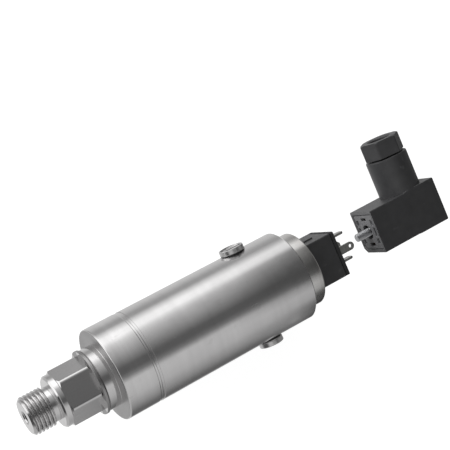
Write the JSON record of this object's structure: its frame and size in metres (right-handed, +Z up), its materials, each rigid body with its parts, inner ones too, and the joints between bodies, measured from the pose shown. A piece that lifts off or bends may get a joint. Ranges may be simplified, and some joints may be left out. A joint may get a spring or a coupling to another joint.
{
  "type": "pressure transmitter",
  "caption": "Stainless cylindrical pressure transmitter with a threaded hex fitting, side screws over its adjusters, and a square blade header with its right-angle plug pulled off.",
  "frame": {"origin": "centre of the collar face that seals against the pressure line", "axes": "+X along the body from the pressure side to the plug, +Y from the span screw to the zero screw and along the plug's cable tower, +Z up"},
  "size_m": [0.1647, 0.0459, 0.032],
  "materials": {
    "stainless": "fine turned, bright",
    "stainless_tube": "fine turned, bright",
    "screw_steel": "bright",
    "brass": "machined",
    "gold_pins": "gold plated",
    "tinned_brass": "tin plated",
    "lead_insulation": "satin",
    "circuit_board": "satin solder mask",
    "component_body": "matte",
    "trimmer_blue": "satin",
    "black_nylon": "moulded, satin",
    "insert_nylon": "moulded, satin",
    "seal_rubber": "matte"
  },
  "bodies": {
    "transmitter": {"process_fitting": "stainless", "housing_tube": "stainless_tube", "sensor_o_ring": "seal_rubber", "sensor_cell": "stainless", "diaphragm": "stainless", "clamp_ring": "stainless", "sensor_pins": "gold_pins", "front_board": "circuit_board", "main_board": "circuit_board", "board_components": "component_body", "zero_trimmer": "trimmer_blue", "span_trimmer": "trimmer_blue", "end_cap": "stainless", "cap_o_ring": "seal_rubber", "header_base": "black_nylon", "header_ring_nut": "brass", "header_bush": "brass", "header_gasket": "seal_rubber", "blade_1": "tinned_brass", "blade_2": "tinned_brass", "blade_3": "tinned_brass", "earth_blade": "tinned_brass", "signal_wires": "lead_insulation"},
    "plug": {"plug_housing": "black_nylon", "plug_insert": "insert_nylon", "plug_contacts": "tinned_brass", "terminal_screws": "screw_steel", "centre_screw_seal": "seal_rubber", "gland_seal": "seal_rubber", "gland_washer": "screw_steel"},
    "centre_screw": {"centre_screw": "screw_steel"},
    "gland_nut": {"gland_nut": "black_nylon"},
    "zero_screw": {"zero_screw": "screw_steel", "zero_screw_seal": "seal_rubber"},
    "span_screw": {"span_screw": "screw_steel", "span_screw_seal": "seal_rubber"},
    "zero_rotor": {"zero_rotor": "brass"},
    "span_rotor": {"span_rotor": "brass"}
  },
  "joints": [
    {"name": "plug_slide", "type": "slide", "parent": "transmitter", "child": "plug", "axis": [1, 0, 0], "range_m": [-0.0166, 0]},
    {"name": "centre_screw_turn", "type": "hinge", "parent": "plug", "child": "centre_screw", "pos_m": [0.13, 0, 0], "axis": [1, 0, 0], "continuous": true},
    {"name": "gland_nut_out", "type": "slide", "parent": "plug", "child": "gland_nut", "axis": [0, 1, 0], "range_m": [0, 0.01]},
    {"name": "zero_screw_out", "type": "slide", "parent": "transmitter", "child": "zero_screw", "axis": [0, 1, 0], "range_m": [0, 0.008]},
    {"name": "span_screw_out", "type": "slide", "parent": "transmitter", "child": "span_screw", "axis": [0, -1, 0], "range_m": [0, 0.008]},
    {"name": "zero_trim_turn", "type": "hinge", "parent": "transmitter", "child": "zero_rotor", "pos_m": [0.0762, 0.009, 0], "axis": [0, 1, 0], "range_deg": [-135, 135]},
    {"name": "span_trim_turn", "type": "hinge", "parent": "transmitter", "child": "span_rotor", "pos_m": [0.0762, -0.009, 0], "axis": [0, -1, 0], "range_deg": [-135, 135]}
  ]
}
